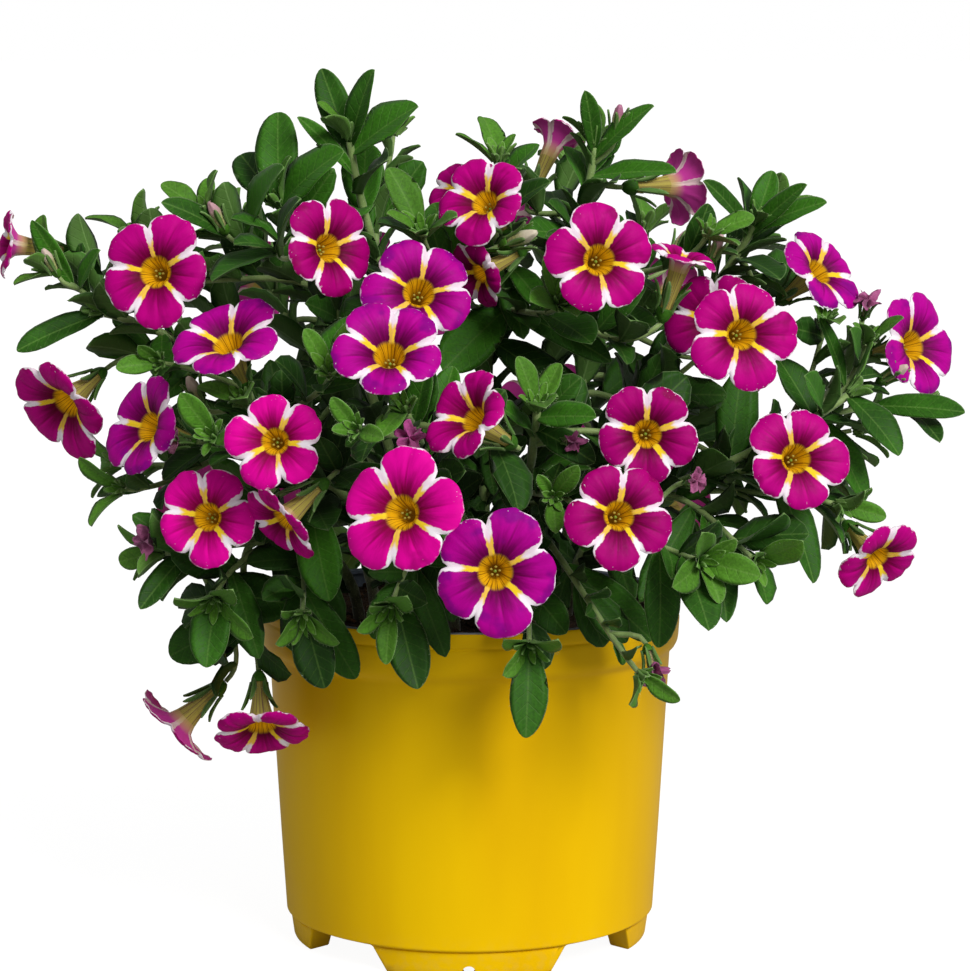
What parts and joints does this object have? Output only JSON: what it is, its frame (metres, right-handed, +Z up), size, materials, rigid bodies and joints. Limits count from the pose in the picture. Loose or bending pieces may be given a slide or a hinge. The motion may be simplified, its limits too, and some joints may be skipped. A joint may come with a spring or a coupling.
{
  "type": "potted calibrachoa",
  "caption": "Bushy balcony plant with trumpet flowers and narrow leaves on spreading stems, rooted in a round nursery pot that stands on four feet.",
  "frame": {"origin": "middle of the circle that the pot's feet stand on, at ground level", "axes": "+Z up, -Y towards the front of the plant, +X to its right"},
  "size_m": [0.2712, 0.2177, 0.246],
  "materials": {
    "pot_plastic": "satin yellow plastic, grey on the inside and the lip",
    "peat": "loose dark peat",
    "leaf": "soft, slightly hairy green",
    "petal": "velvety magenta with pale star stripes"
  },
  "bodies": {
    "root": {"pot": "pot_plastic", "soil": "peat", "stem_left": "leaf", "stem_upper_left": "leaf", "stem_top": "leaf", "stem_middle": "leaf", "stem_upper_right": "leaf", "stem_right": "leaf", "stem_far_right": "leaf", "stem_front_left": "leaf", "stem_front": "leaf", "stem_front_right": "leaf", "stem_low_left": "leaf", "stem_back_left": "leaf", "stem_back_right": "leaf", "flower_01": "petal", "flower_02": "petal", "flower_03": "petal", "flower_04": "petal", "flower_05": "petal", "flower_06": "petal", "flower_07": "petal", "flower_08": "petal", "flower_09": "petal", "flower_10": "petal", "flower_11": "petal", "flower_12": "petal", "flower_13": "petal", "flower_14": "petal", "flower_15": "petal", "flower_16": "petal", "flower_17": "petal", "flower_18": "petal", "flower_19": "petal", "flower_20": "petal", "flower_21": "petal", "flower_22": "petal", "flower_23": "petal", "flower_24": "petal", "flower_25": "petal", "flower_26": "petal", "flower_27": "petal", "flower_28": "petal", "flower_29": "petal", "flower_30": "petal", "flower_31": "petal", "flower_32": "petal", "flower_33": "petal", "flower_34": "petal", "flower_35": "petal", "flower_36": "petal", "flower_37": "petal", "flower_38": "petal", "flower_39": "petal", "flower_40": "petal", "flower_41": "petal", "flower_42": "petal", "flower_43": "petal", "flower_44": "petal"}
  },
  "joints": []
}
